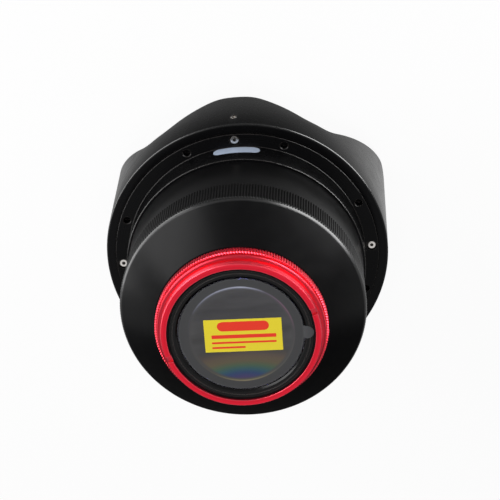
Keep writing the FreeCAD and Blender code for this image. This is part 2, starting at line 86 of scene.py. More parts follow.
def turned_piece(name, outline, columns, smooth_angle=35):
    """Turns a closed outline, in mm, round the lens axis, as on a lathe."""
    points = eased(outline)
    deselect_all()
    bpy.ops.mesh.primitive_plane_add(size=mm)
    piece = bpy.context.object
    piece.name = piece.data.name = name
    bpy.ops.object.mode_set(mode="EDIT")
    bpy.ops.mesh.select_all(action="SELECT")
    bpy.ops.mesh.merge(type="CENTER")
    bpy.ops.transform.translate(value=(points[0][0] * mm, 0, points[0][1] * mm))
    here = points[0]
    for there in points[1:] + points[:1]:
        step = ((there[0] - here[0]) * mm, 0, (there[1] - here[1]) * mm)
        bpy.ops.mesh.extrude_vertices_move(TRANSFORM_OT_translate={"value": step})
        here = there
    bpy.ops.mesh.select_all(action="SELECT")
    bpy.ops.mesh.remove_doubles(threshold=1e-6)
    bpy.ops.mesh.spin(steps=columns, angle=2 * math.pi, center=(0, 0, 0), axis=(0, 0, 1))
    bpy.ops.mesh.select_all(action="SELECT")
    bpy.ops.mesh.remove_doubles(threshold=1e-6)
    bpy.ops.mesh.normals_make_consistent(inside=False)
    bpy.ops.object.mode_set(mode="OBJECT")
    bpy.ops.object.shade_smooth_by_angle(angle=math.radians(smooth_angle))
    return piece


def press_grooves(piece, teeth, bottom, top, scale, beyond=35.5):
    """Draws every third column between two heights, in mm, towards the axis. Flat-topped teeth stay."""
    take(piece)
    bpy.ops.object.mode_set(mode="EDIT")
    bpy.ops.mesh.select_all(action="DESELECT")
    mesh = bmesh.from_edit_mesh(piece.data)
    for vertex in mesh.verts:
        column = round(math.atan2(vertex.co.y, vertex.co.x) / (2 * math.pi) * 3 * teeth)
        if column % 3 == 2 and bottom * mm < vertex.co.z < top * mm:
            vertex.select = math.hypot(vertex.co.x, vertex.co.y) > beyond * mm
    mesh.select_flush_mode()
    bmesh.update_edit_mesh(piece.data)
    bpy.ops.transform.resize(value=(scale, scale, 1), center_override=(0, 0, 0))
    bpy.ops.object.mode_set(mode="OBJECT")
    bpy.ops.object.shade_smooth_by_angle(angle=math.radians(24))


def new_finish(name):
    """Plain material, with its node tree, its shader and the places on the piece."""
    material = bpy.data.materials.new(name)
    material.use_nodes = True
    tree = material.node_tree
    place = tree.nodes.new("ShaderNodeTexCoord").outputs["Object"]
    return material, tree, tree.nodes["Principled BSDF"], place


def feed(tree, socket, value):
    """Sets a plain value on a socket, or links a node's output to it."""
    if isinstance(value, (int, float, tuple)):
        socket.default_value = value
    else:
        tree.links.new(value, socket)


def mixed(tree, fac, first, second, kind="MIX"):
    node = tree.nodes.new("ShaderNodeMixRGB")
    node.blend_type = kind
    for socket, value in (("Fac", fac), ("Color1", first), ("Color2", second)):
        feed(tree, node.inputs[socket], value)
    return node.outputs[0]


def reckoned(tree, kind, first, second):
    """Sum, product or the like of two values."""
    node = tree.nodes.new("ShaderNodeMath")
    node.operation = kind
    feed(tree, node.inputs[0], first)
    feed(tree, node.inputs[1], second)
    return node.outputs[0]


def mapped(tree, value, low, high, first, last):
    """Value that goes from first to last while another goes from low to high."""
    node = tree.nodes.new("ShaderNodeMapRange")
    for socket, limit in (("From Min", low), ("From Max", high), ("To Min", first), ("To Max", last)):
        node.inputs[socket].default_value = limit
    tree.links.new(value, node.inputs["Value"])
    return node.outputs[0]


def noise(tree, place, scale, detail):
    node = tree.nodes.new("ShaderNodeTexNoise")
    node.inputs["Scale"].default_value = scale
    node.inputs["Detail"].default_value = detail
    tree.links.new(place, node.inputs["Vector"])
    return node.outputs["Fac"]


def roughen(tree, shader, height, strength, depth):
    """Bump of a depth in mm."""
    bump = tree.nodes.new("ShaderNodeBump")
    bump.inputs["Strength"].default_value = strength
    bump.inputs["Distance"].default_value = depth * mm
    tree.links.new(height, bump.inputs["Height"])
    tree.links.new(bump.outputs[0], shader.inputs["Normal"])


def distance(tree, place, weights=(1, 1, 0)):
    """Length of a place's own X, Y and Z, each weighed. Unchanged, it is the distance from the lens axis."""
    weighed = tree.nodes.new("ShaderNodeVectorMath")
    weighed.operation = "MULTIPLY"
    weighed.inputs[1].default_value = weights
    tree.links.new(place, weighed.inputs[0])
    length = tree.nodes.new("ShaderNodeVectorMath")
    length.operation = "LENGTH"
    tree.links.new(weighed.outputs[0], length.inputs[0])
    return length.outputs["Value"]


def split_place(tree, place):
    """X, Y and Z of a place."""
    split = tree.nodes.new("ShaderNodeSeparateXYZ")
    tree.links.new(place, split.inputs[0])
    return split.outputs


def edge_wear_and_gleam_share(tree, wear_and_gleam):
    """How far an edge is painted paler, as wear and as a painted highlight: its own direction set against
    that of the same edge, rounded by 0.3 mm.
    """
    rounded = tree.nodes.new("ShaderNodeBevel")
    rounded.samples = 4
    rounded.inputs["Radius"].default_value = 0.3 * mm
    likeness = tree.nodes.new("ShaderNodeVectorMath")
    likeness.operation = "DOT_PRODUCT"
    tree.links.new(rounded.outputs[0], likeness.inputs[0])
    tree.links.new(tree.nodes.new("ShaderNodeNewGeometry").outputs["Normal"], likeness.inputs[1])
    return mapped(tree, likeness.outputs["Value"], 0.995, 0.87, 0, wear_and_gleam)


def turned_finish(name, colour, roughness, index, line_strength, metallic=0.0, speck=0.25, wear_and_gleam=0.8,
                  wear_and_gleam_colour=worn_and_gleaming_edge, wear_and_gleam_above=None, top_face=None):
    """Turned and anodised metal: fine lathe lines, a faint unevenness of its sheen, and edges painted paler,
    as wear and as painted highlights, all over or above a height. A top face is (from height, to height,
    colour, metallic), in mm."""
    material, tree, shader, place = new_finish(name)
    shader.inputs["Metallic"].default_value = metallic
    shader.inputs["IOR"].default_value = index
    height = split_place(tree, place)["Z"]
    if top_face:
        low, high, face_colour, face_metallic = top_face
        rise = mapped(tree, height, low * mm, high * mm, 0, 1)
        colour = mixed(tree, rise, colour, face_colour)
        tree.links.new(mapped(tree, rise, 0, 1, metallic, face_metallic), shader.inputs["Metallic"])
    lathe = tree.nodes.new("ShaderNodeCombineXYZ")
    tree.links.new(distance(tree, place), lathe.inputs["X"])
    tree.links.new(height, lathe.inputs["Y"])
    lines = noise(tree, lathe.outputs[0], 5200, 3)
    cloud = noise(tree, place, 160, 5)
    grain = noise(tree, place, 9000, 2)
    tree.links.new(mapped(tree, cloud, 0, 1, roughness - 0.06, roughness + 0.06), shader.inputs["Roughness"])
    shade = mixed(tree, 1, colour, mapped(tree, lines, 0.3, 0.7, 1 - speck, 1 + speck), "MULTIPLY")
    # Edges painted paler: partly wear, partly painted highlights.
    edge = edge_wear_and_gleam_share(tree, wear_and_gleam)
    if wear_and_gleam_above:
        edge = reckoned(tree, "MULTIPLY", edge, reckoned(tree, "GREATER_THAN", height, wear_and_gleam_above * mm))
    tree.links.new(mixed(tree, edge, shade, wear_and_gleam_colour), shader.inputs["Base Color"])
    roughen(tree, shader, reckoned(tree, "ADD", lines, grain), line_strength, 0.02)
    return material


def finish_piece(piece, material, slot, *replaced):
    """Attaches a piece to the root body and hides the imported parts it replaces. One that has its materials
    already is given none.
    """
    if material:
        piece.data.materials.clear()
        piece.data.materials.append(material)
    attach(piece, "root")
    if replaced:
        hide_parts(*replaced)


def rub_band(piece, material, rubbed, beyond, bottom, top):
    """Gives a piece its finish, and a rubbed one beyond a radius and between two heights, in mm."""
    piece.data.materials.append(material)
    piece.data.materials.append(rubbed)
    for face in piece.data.polygons:
        wide = math.hypot(face.center.x, face.center.y) > beyond * mm
        face.material_index = int(wide and bottom * mm < face.center.z < top * mm)


satin_black = turned_finish("satin_black_anodising", black_dye, 0.27, 1.2, 0.03, wear_and_gleam=0.7)
smooth_black = turned_finish("unworn_black_anodising", black_dye, 0.31, 1.2, 0.03, wear_and_gleam=0.0)
burnished_black = turned_finish("burnished_black_anodising", black_dye, 0.31, 1.34, 0.03, wear_and_gleam=0.0)

grip_teeth = 263
shoulder_radius = 52.3
shoulder_start = 118.4
shoulder_round = 3.22
shoulder_steps = 8
shoulder = []
for step in range(1, shoulder_steps + 1):
    lean = math.radians(49.9) * step / shoulder_steps
    shoulder.append((shoulder_radius - shoulder_round * (1 - math.cos(lean)),
                     shoulder_start + shoulder_round * math.sin(lean)))
housing_outline = [
    (48.9, 82.2), (51.5, 82.2, 0.25), (51.5, 104.9), (51.85, 105.0), (51.85, 111.6), (51.85, 118.2),
    (52.25, 118.32), (shoulder_radius, shoulder_start), *shoulder, (36.5, 133.2, 0.2), (30.85, 133.2),
    (30.85, 142.0, 0.15), (29.9, 142.0, 0.15), (29.9, 137.4), (28.2, 137.4), (28.2, 133.9), (25.5, 133.9),
    (25.5, 130.9), (34.6, 130.9), (48.9, 118.9)]
housing = turned_piece("rear_housing_shell", housing_outline, 3 * grip_teeth, 28)
press_grooves(housing, grip_teeth, 104.95, 118.3, 0.9915)
press_grooves(housing, grip_teeth, 118.3, 118.36, 0.9925)
press_grooves(housing, grip_teeth, 118.36, 119.5, 0.995)
rub_band(housing, smooth_black, burnished_black, 48, 118.22, 120.87)
finish_piece(housing, None, "black_anodised", "rear_housing")

# Mount ring. Red anodised aluminium, turned and threaded: a 67 mm male thread at the rear, an undercut, a
# round bead, a groove and a toothed grip band. It screws on the housing's spigot by two spanner slots.

# The walls get a pinker, more metallic red and the end face a plainer, less metallic one: painted light, so
# the walls' gleams show pink and the face shows lighter.
red_wall = (0.74, 0.035, 0.06, 1)
red_face = (0.74, 0.009, 0.03, 1)
# Painted pink highlights on the ring's edges above 141 mm: the spanner slots' walls and the rims of the end
# face.
red_edge_highlight = (0.9, 0.2, 0.26, 1)
red_anodising = turned_finish("red_anodising", red_wall, 0.3, 1.35, 0.12, metallic=0.85, speck=0.15, wear_and_gleam=0.7,
                              wear_and_gleam_colour=red_edge_highlight, wear_and_gleam_above=141, top_face=(142.75, 142.98, red_face, 0.35))

ring_teeth = 185
ring_top = 143.0
ring_outline = [
    (30.9, 133.2), (35.85, 133.2), (36.2, 133.55), (36.2, 135.2), (36.2, 136.95), (35.85, 137.3),
    (34.6, 137.3), (34.6, 137.8), (35.1, 137.8, 0.12), (35.1, 138.3), (34.95, 138.7), (34.65, 138.97),
    (34.3, 139.1), (33.0, 139.1), (33.0, 139.7), (33.03, 139.9), (33.03, 142.5), (33.4, 142.72),
    (33.12, ring_top), (31.0, ring_top), (30.9, 142.9)]
ring = turned_piece("mount_ring_body", ring_outline, 3 * ring_teeth, 28)
press_grooves(ring, ring_teeth, 133.1, 137.4, 0.989)

thread_root = 32.95
thread_middle = 33.2
thread_crest = 33.5
thread_start = 140.15
thread_pitch = 0.75
root_reach = 0.36
crest_reach = 0.05
deselect_all()
bpy.ops.mesh.primitive_plane_add(size=0.3 * mm)
thread = bpy.context.object
bpy.ops.object.mode_set(mode="EDIT")
bpy.ops.transform.rotate(value=math.pi / 2, orient_axis="X", center_override=(0, 0, 0))
bpy.ops.transform.translate(value=(thread_middle * mm, 0, thread_start * mm))
mesh = bmesh.from_edit_mesh(thread.data)
for vertex in mesh.verts:
    up = 1 if vertex.co.z > thread_start * mm else -1
    outer = vertex.co.x > thread_middle * mm
    vertex.co.x = (thread_crest if outer else thread_root) * mm
    vertex.co.z = (thread_start + up * (crest_reach if outer else root_reach)) * mm
bmesh.update_edit_mesh(thread.data)
bpy.ops.mesh.delete(type="ONLY_FACE")
bpy.ops.object.mode_set(mode="OBJECT")
turns = thread.modifiers.new("turns", "SCREW")
turns.steps = turns.render_steps = 180
turns.iterations = 3
turns.screw_offset = thread_pitch * mm
turns.use_merge_vertices = False
bpy.ops.object.modifier_apply(modifier="turns")
bpy.ops.object.mode_set(mode="EDIT")
bpy.ops.mesh.select_all(action="SELECT")
bpy.ops.mesh.remove_doubles(threshold=1e-7)
bpy.ops.mesh.fill_holes(sides=4)
bpy.ops.mesh.select_all(action="SELECT")
bpy.ops.mesh.normals_make_consistent(inside=False)
bpy.ops.object.mode_set(mode="OBJECT")
bpy.ops.object.shade_smooth_by_angle(angle=math.radians(30))


def cut_away(piece, cutter):
    cut = piece.modifiers.new("cut", "BOOLEAN")
    cut.operation = "DIFFERENCE"
    cut.solver = "EXACT"
    cut.object = cutter
    take(piece)
    bpy.ops.object.modifier_apply(modifier="cut")


slot_angle = 16
slot_radius = 32.5
slot_size = (6, 3, 2.4)
for side in (0, 180):
    deselect_all()
    bpy.ops.mesh.primitive_cube_add(size=1)
    cutter = bpy.context.object
    bpy.ops.object.mode_set(mode="EDIT")
    bpy.ops.transform.resize(value=[size * mm for size in slot_size])
    bpy.ops.transform.translate(value=(slot_radius * mm, 0, ring_top * mm))
    bpy.ops.transform.rotate(value=-math.radians(slot_angle + side), orient_axis="Z",
                             center_override=(0, 0, 0))
    bpy.ops.object.mode_set(mode="OBJECT")
    for target in (ring, thread):
        cut_away(target, cutter)
    bpy.data.objects.remove(cutter)
take(ring)
thread.select_set(True)
bpy.ops.object.join()
finish_piece(ring, red_anodising, "red_anodised", "mount_ring")

# Front flange. Black anodised aluminium, turned in one piece: the screw flange, the collar and the spigot
# that enters the housing. Eight tapped holes take accessories, and four cap screws between them pull up the
# dome's bezel.

flange_top = 68.8
flange_outline = [
    (42.5, 64.5), (53.1, 64.5), (53.1, 64.0), (58.4, 64.0), (58.4, flange_top, 0.3), (52.5, flange_top, 0.4),
    (52.5, 82.2, 0.3), (48.8, 82.2), (48.8, 93.2), (44.1, 93.2), (44.1, 68.5), (42.5, 68.5)]
flange = turned_piece("front_flange_body", flange_outline, 256)

hole_circle = 55.5
tapped_radius = 1.65
counterbore_radius = 2.3


def on_hole_circle(angle, height):
    return (hole_circle * math.cos(angle) * mm, hole_circle * math.sin(angle) * mm, height * mm)


deselect_all()
hole_cutters = []
for number in range(8):
    angle = math.radians(22.5 + 45 * number)
    bpy.ops.mesh.primitive_cylinder_add(vertices=32, radius=tapped_radius * mm, depth=8 * mm,
                                        location=on_hole_circle(angle, flange_top))
    hole_cutters.append(bpy.context.object)
    bpy.ops.mesh.primitive_cone_add(vertices=32, radius1=1.5 * mm, radius2=2.3 * mm, depth=0.8 * mm,
                                    location=on_hole_circle(angle, flange_top + 0.05))
    hole_cutters.append(bpy.context.object)
for number in range(4):
    bpy.ops.mesh.primitive_cylinder_add(vertices=48, radius=counterbore_radius * mm, depth=5 * mm,
                                        location=on_hole_circle(math.pi / 2 * number, flange_top))
    hole_cutters.append(bpy.context.object)
for cutter in hole_cutters:
    cut_away(flange, cutter)
    bpy.data.objects.remove(cutter)
take(flange)
bpy.ops.object.shade_smooth_by_angle(angle=math.radians(30))
rubbed_black = turned_finish("rubbed_black_anodising", black_dye, 0.27, 1.4, 0.03, wear_and_gleam=0.8)
rub_band(flange, satin_black, rubbed_black, 52, 81.89, 82.19)
finish_piece(flange, None, "black_anodised", "front_flange")

# Lens hood. Black anodised aluminium tube whose front is milled into two long and two short lobes. Its lip
# sits on the dome's bezel, and four grub screws through the wall hold it.

rim_blend = 3.6
rim_level = 52.0
valley_height = 50.0
short_tip_height = 36.9
short_tip_angle, short_valley_angle = 7.3, 29.5
long_valley_angle, long_tip_angle = 40.7, 82.7
tip_facing = 0.6


def rim_ramp(angle):
    """Ramp that starts at zero with a soft bend."""
    if angle <= -rim_blend:
        return 0
    return angle if angle >= rim_blend else (angle + rim_blend) ** 2 / (4 * rim_blend)


def rim_height(angle):
    """Height of the hood's rim, in mm, at an angle from the short lobes' axis."""
    folded = abs((angle + 90) % 180 - 90)
    short_slope = (valley_height - short_tip_height) / (short_valley_angle - short_tip_angle)
    long_slope = (valley_height + tip_facing) / (long_tip_angle - long_valley_angle)
    height = short_tip_height
    height += short_slope * (rim_ramp(folded - short_tip_angle) - rim_ramp(folded - short_valley_angle))
    height -= long_slope * (rim_ramp(folded - long_valley_angle) - rim_ramp(folded - long_tip_angle))
    return max(height, 0)


hood_outline = [
    (60.5, rim_level, 0.25), (62.7, rim_level, 0.3), (62.7, 54.0), (62.7, 67.8, 0.8), (58.5, 67.8, 0.25),
    (58.5, 64.0), (60.5, 64.0), (60.5, 54.0)]
hood = turned_piece("lens_hood_shell", hood_outline, 360)
for vertex in hood.data.vertices:
    if vertex.co.z < (rim_level + 1) * mm:
        angle = math.degrees(math.atan2(vertex.co.x, vertex.co.y))
        vertex.co.z += (rim_height(angle) - rim_level) * mm
take(hood)
bpy.ops.object.shade_smooth_by_angle(angle=math.radians(35))

grub_height = 59.6
hood_middle = 61.6
for number in range(4):
    angle = math.pi / 2 * number
    deselect_all()
    bpy.ops.mesh.primitive_cylinder_add(
        vertices=32, radius=1.53 * mm, depth=8 * mm, rotation=(0, math.pi / 2, angle),
        location=(hood_middle * math.cos(angle) * mm, hood_middle * math.sin(angle) * mm, grub_height * mm))
    cutter = bpy.context.object
    cut_away(hood, cutter)
    bpy.data.objects.remove(cutter)
# The hood's edges are painted paler than the flange's: partly wear, partly painted highlights.
hood_black = turned_finish("hood_anodising_worn_and_gleaming", black_dye, 0.27, 1.2, 0.03, wear_and_gleam=0.8)
rub_band(hood, hood_black, rubbed_black, 61, 66.99, 67.79)
finish_piece(hood, None, "black_anodised", "lens_hood")

# Dome bezel. Black anodised ring in front of the flange, pulled up by the cap screws. Its lip holds the
# dome's rim over a thin gasket.

bezel_outline = [
    (52.0, 54.5, 0.2), (60.4, 54.5, 0.6), (60.4, 64.0), (53.1, 64.0), (53.1, 59.5), (49.2, 59.5, 0.15)]
bezel = turned_piece("dome_bezel_ring", bezel_outline, 256)
finish_piece(bezel, satin_black, "black_anodised", "dome_bezel")

# Cap screws and grub screws. Stainless, cold-headed, with a hexagon socket. The four cap screws stand on the
# flange, and the four grub screws lie just under the hood's wall.

stainless = turned_finish("stainless_steel", (0.88, 0.84, 0.8, 1), 0.22, 1.5, 0.1, metallic=1.0, speck=0.06,
                          wear_and_gleam=0.3, wear_and_gleam_colour=(0.9, 0.87, 0.84, 1))
# The sockets' bottoms are painted dark: painted shade in the recess.
shaded_socket = turned_finish("painted_shade_socket", (0.02, 0.018, 0.016, 1), 0.5, 1.3, 0.1, metallic=0.3,
                              speck=0.1, wear_and_gleam=0.0)


def socket_screw(name, head_radius, bottom, top, edge, across_flats, depth, columns=48):
    """Screw's visible end: a round head with an eased edge and a hexagon socket, whose bottom is painted dark
    as shade.
    """
    outline = [(0, bottom), (head_radius, bottom), (head_radius, top, edge), (0, top)]
    screw = turned_piece(name, outline, columns)
    deselect_all()
    bpy.ops.mesh.primitive_cylinder_add(vertices=6, radius=across_flats / math.sqrt(3) * mm,
                                        depth=2 * depth * mm, location=(0, 0, top * mm))
    key = bpy.context.object
    cut_away(screw, key)
    bpy.data.objects.remove(key)
    take(screw)
    bpy.ops.object.shade_smooth_by_angle(angle=math.radians(30))
    screw.data.materials.append(stainless)
    screw.data.materials.append(shaded_socket)
    for face in screw.data.polygons:
        x, y, z = face.center
        in_socket = math.hypot(x, y) < across_flats / 2 * 1.02 * mm and z < (top - 0.05) * mm
        face.material_index = int(in_socket and abs(face.normal.z) > 0.9)
    return screw


def set_screws(screw, distance_out, height, tilt, name, node):
    """Four copies of a screw round the axis, joined into one piece. Each socket stops at its own angle."""
    copies = []
    for number in range(4):
        take(screw)
        bpy.ops.object.duplicate(linked=False)
        copies.append(bpy.context.object)
        bpy.ops.object.mode_set(mode="EDIT")
        bpy.ops.mesh.select_all(action="SELECT")
        bpy.ops.transform.rotate(value=-math.radians(17 + 25 * number), orient_axis="Z",
                                 center_override=(0, 0, 0))
        bpy.ops.transform.rotate(value=-tilt, orient_axis="Y", center_override=(0, 0, 0))
        bpy.ops.transform.translate(value=(distance_out * mm, 0, height * mm))
        bpy.ops.transform.rotate(value=-math.pi / 2 * number, orient_axis="Z", center_override=(0, 0, 0))
        bpy.ops.object.mode_set(mode="OBJECT")
    bpy.data.objects.remove(screw)
    deselect_all()
    for copy in copies:
        copy.select_set(True)
    bpy.context.view_layer.objects.active = copies[0]
    bpy.ops.object.join()
    copies[0].name = copies[0].data.name = name
    finish_piece(copies[0], None, "stainless", node)


cap_screw = socket_screw("cap_screw", 1.9, bottom=0, top=2.0, edge=0.4, across_flats=1.5, depth=1.0)
set_screws(cap_screw, hole_circle, 66.3, 0, "cap_screw_set", "flange_cap_screws")
grub_screw = socket_screw("grub_screw", 1.5, bottom=-3.0, top=0, edge=0.2, across_flats=1.5, depth=1.2,
                          columns=32)
set_screws(grub_screw, 62.5, grub_height, math.pi / 2, "grub_screw_set", "hood_grub_screws")

# Glasses. Ground and polished elements with anti-reflection coats: the dome, the inner group in the cell, and
# the rear lens, which stands on a seal in the housing.

coated_glass, tree, shader, place = new_finish("coated_glass")
shader.inputs["Base Color"].default_value = (0.82, 0.86, 0.88, 1)
shader.inputs["Transmission Weight"].default_value = 1
shader.inputs["IOR"].default_value = 1.52
shader.inputs["Coat Weight"].default_value = 0.3
shader.inputs["Coat Tint"].default_value = (0.75, 0.7, 1, 1)
smear = noise(tree, place, 60, 4)
tree.links.new(mapped(tree, smear, 0.5, 0.8, 0, 0.05), shader.inputs["Roughness"])


def spherical(radius_end, height_end, curve, steps):
    """Points of a polished sphere from the axis to its edge, in mm. A minus curve is hollow to the front."""
    points = []
    for step in range(steps):
        radius = radius_end * step / steps
        depth = abs(curve) - math.sqrt(curve ** 2 - radius ** 2)
        full = abs(curve) - math.sqrt(curve ** 2 - radius_end ** 2)
        points.append((radius, height_end - math.copysign(full - depth, curve)))
    return points


def ground_glass(name, front, rim, rear, node):
    """Lens from its two faces, each (radius, curve), and the rim between them. Curves over 0 bulge out."""
    outline = spherical(front[0], rim[0][1], front[1], 24) + [(front[0], rim[0][1])] + rim
    outline += [(rear[0], rim[-1][1])] + spherical(rear[0], rim[-1][1], -rear[1], 24)[::-1]
    lens = turned_piece(name, outline, 128, 25)
    finish_piece(lens, coated_glass, "optical_glass", node)


ground_glass("dome_lens_glass", (48.3, 54.0), [(53.0, 60.1), (53.0, 64.5)], (42.2, -46.5), "dome_lens")
ground_glass("meniscus_lens_glass", (40.0, 80.0), [(40.0, 79.7), (40.0, 85.0)], (26.8, -36.0),
             "meniscus_lens")
ground_glass("concave_lens_glass", (27.0, -90.0), [(30.0, 91.0), (30.0, 105.0)], (27.0, -60.0),
             "concave_lens")
ground_glass("doublet_front_glass", (27.0, 55.0), [(30.0, 108.0), (30.0, 110.5)], (30.0, 70.0),
             "doublet_front_lens")
ground_glass("doublet_rear_glass", (30.0, -70.0), [(30.0, 110.5), (30.0, 121.0)], (27.0, 150.0),
             "doublet_rear_lens")
ground_glass("rear_lens_glass", (25.5, 75.0), [(28.1, 133.9), (28.1, 139.8), (26.2, 139.8), (26.2, 141.3)],
             (22.0, -120.0), "rear_lens")

# Rear retaining ring. Black anodised, screwed into the housing's spigot over the rear lens. Its face has a
# turned groove, and its edges are painted paler, partly as wear and partly as painted glints.

retaining_outline = [
    (26.5, 139.8), (28.2, 139.8), (28.2, 139.2), (29.85, 139.2), (29.85, 142.0, 0.15), (28.75, 142.0, 0.06),
    (28.65, 141.85), (28.45, 141.85), (28.35, 142.0, 0.06), (27.3, 142.0, 0.15), (26.5, 141.2, 0.1)]
retaining = turned_piece("rear_retaining_ring_body", retaining_outline, 192)
ring_black = turned_finish("ring_anodising_worn_and_gleaming", black_dye, 0.22, 1.3, 0.03, wear_and_gleam=0.9)
finish_piece(retaining, ring_black, "black_anodised", "rear_retaining_ring")

# Inner metal and seals. The cell, its rings and the light baffle are matt black inside, so that no light
# strays. The seals are moulded black nitrile rubber.


def coat(node, material):
    """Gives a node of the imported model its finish."""
    mesh = nodes[node].data
    mesh.materials.clear()
    mesh.materials.append(material)


inner_black = turned_finish("matt_inner_black", (0.008, 0.008, 0.008, 1), 0.6, 1.25, 0.4, wear_and_gleam=0.0)
for node in ("lens_cell", "cell_retaining_ring", "meniscus_retaining_ring", "spacer_ring",
             "doublet_retaining_ring", "light_baffle"):
    coat(node, inner_black)
rubber = turned_finish("nitrile_rubber", (0.012, 0.012, 0.012, 1), 0.55, 1.5, 0.1, wear_and_gleam=0.0)
for node in ("dome_o_ring", "body_o_ring", "rear_o_ring", "dome_gasket"):
    coat(node, rubber)

# Film on the rear lens. Thin milky plastic, cut round, with a pull tab that climbs onto the retaining ring.
# It has painted reflections: faint rainbow colours near its lower edge, and a pale arc that runs round it.


def colour_band(tree, value, start, end, stops):
    """Colours along a value between two limits, from (position, colour) stops. A single number is a grey."""
    ramp = tree.nodes.new("ShaderNodeValToRGB")
    marks = ramp.color_ramp.elements
    colours = [(at, colour if isinstance(colour, tuple) else (colour,) * 3) for at, colour in stops]
    for mark, (at, colour) in zip(marks, (colours[0], colours[-1])):
        mark.position = at
        mark.color = (*colour, 1)
    for at, colour in colours[1:-1]:
        marks.new(at).color = (*colour, 1)
    tree.links.new(mapped(tree, value, start, end, 0, 1), ramp.inputs[0])
    return ramp.outputs[0]


film, tree, shader, place = new_finish("milky_film")
shader.inputs["Alpha"].default_value = 0.86
shader.inputs["Roughness"].default_value = 0.28
shader.inputs["IOR"].default_value = 1.3
radius = distance(tree, place)
# The milky tone is lighter in a ring near 21.5 mm and at the film's edge.
haze = colour_band(tree, radius, 0, 30 * mm, [
    (0.0, (0.056, 0.055, 0.056)), (0.60, (0.066, 0.065, 0.066)), (0.715, (0.074, 0.073, 0.074)),
    (0.735, (0.062, 0.062, 0.064)), (0.84, (0.060, 0.061, 0.063)), (0.862, (0.080, 0.081, 0.085)),
    (1.0, (0.060, 0.062, 0.066))])
inside = colour_band(tree, radius, 0, 30 * mm, [(0.0, 1), (0.68, 1), (0.715, 0), (1.0, 0)])
stretched = tree.nodes.new("ShaderNodeMapping")
stretched.inputs["Scale"].default_value = (35, 190, 1)
tree.links.new(place, stretched.inputs["Vector"])
streaks = noise(tree, stretched.outputs[0], 1, 3)
smoke = colour_band(tree, streaks, 0.25, 0.75, [(0.0, 0.72), (1.0, 1.28)])
milky = mixed(tree, inside, haze, mixed(tree, 1, haze, smoke, "MULTIPLY"))

# Painted reflection: rainbow colours near the film's lower edge.
lower_edge = tree.nodes.new("ShaderNodeMapping")
lower_edge.inputs["Location"].default_value = (1 * mm, 22 * mm, 0)
tree.links.new(place, lower_edge.inputs["Vector"])
reach = distance(tree, lower_edge.outputs[0], (0.42, 1, 0))
painted_rainbow_end = 16.5 * mm
painted_rainbow = colour_band(tree, reach, 0, painted_rainbow_end, [
    (0.0, (0.085, 0.055, 0.11)), (0.12, (0.06, 0.05, 0.14)), (0.24, (0.03, 0.06, 0.15)),
    (0.34, (0.035, 0.10, 0.12)), (0.45, (0.07, 0.12, 0.075)), (0.57, (0.125, 0.105, 0.065)),
    (0.76, (0.12, 0.088, 0.067)), (1.0, (0.07, 0.066, 0.064))])
strength = colour_band(tree, reach, 0, painted_rainbow_end, [(0.0, 0.9), (0.7, 0.85), (1.0, 0)])
with_painted_rainbow = mixed(tree, mixed(tree, 1, strength, inside, "MULTIPLY"), milky, painted_rainbow)

across = split_place(tree, place)
round_axis = reckoned(tree, "ARCTAN2", across["Y"], across["X"])
# Painted reflection: a pale arc round the axis, its colour changing with the angle.
painted_arc = colour_band(tree, round_axis, -math.pi, math.pi, [
    (0.0, (0.06, 0.06, 0.065)), (0.15, (0.09, 0.085, 0.07)), (0.25, (0.24, 0.21, 0.13)),
    (0.35, (0.1, 0.1, 0.09)), (0.5, (0.08, 0.075, 0.08)), (0.58, (0.17, 0.1, 0.14)),
    (0.66, (0.12, 0.11, 0.14)), (0.73, (0.42, 0.44, 0.55)), (0.82, (0.28, 0.29, 0.36)),
    (0.92, (0.07, 0.07, 0.075)), (1.0, (0.06, 0.06, 0.065))])
painted_arc_band = colour_band(tree, radius, 21 * mm, 23 * mm, [
    (0.0, 0), (0.3, 0.25), (0.45, 1), (0.6, 0.8), (0.72, 0), (1.0, 0)])
tree.links.new(mixed(tree, painted_arc_band, with_painted_rainbow, painted_arc), shader.inputs["Base Color"])
roughen(tree, shader, noise(tree, place, 70, 2), 0.12, 0.3)
coat("protective_film", film)

# Sticker on the film. Yellow paper with red print, kept to plain shapes: a pill and three bars. It is stuck
# a little askew.

sticker_turn = 2.1
sticker_place = (0.85, -0.4, 141.5)


def paper_finish(name, colour):
    """Printed paper or vinyl: fine fibres that tint it and roughen it."""
    material, tree, shader, place = new_finish(name)
    shader.inputs["Roughness"].default_value = 0.5
    fibre = noise(tree, place, 2500, 4)
    tint = mapped(tree, fibre, 0, 1, 0.93, 1.07)
    tree.links.new(mixed(tree, 1, colour, tint, "MULTIPLY"), shader.inputs["Base Color"])
    roughen(tree, shader, fibre, 0.1, 0.01)
    return material


coat("notice_sticker", paper_finish("yellow_paper", (0.77, 0.63, 0.026, 1)))


def printed_bar(width, height, x, y, round_ends):
    """Thin field of ink on the sticker, in the sticker's own directions, in mm."""
    deselect_all()
    bpy.ops.mesh.primitive_plane_add(size=1)
    bar = bpy.context.object
    bpy.ops.object.mode_set(mode="EDIT")
    bpy.ops.mesh.select_all(action="SELECT")
    bpy.ops.transform.resize(value=(width * mm, height * mm, 1))
    reach = 0.499 * height if round_ends else 0.2
    bpy.ops.mesh.bevel(offset=reach * mm, segments=12 if round_ends else 3, affect="VERTICES")
    bpy.ops.mesh.select_all(action="SELECT")
    bpy.ops.mesh.extrude_region_move(TRANSFORM_OT_translate={"value": (0, 0, 0.02 * mm)})
    bpy.ops.mesh.select_all(action="SELECT")
    bpy.ops.mesh.normals_make_consistent(inside=False)
    bpy.ops.transform.translate(value=(x * mm, y * mm, 0))
    bpy.ops.transform.rotate(value=math.radians(sticker_turn), orient_axis="Z", center_override=(0, 0, 0))
    bpy.ops.transform.translate(value=[part * mm for part in sticker_place])
    bpy.ops.object.mode_set(mode="OBJECT")
    return bar


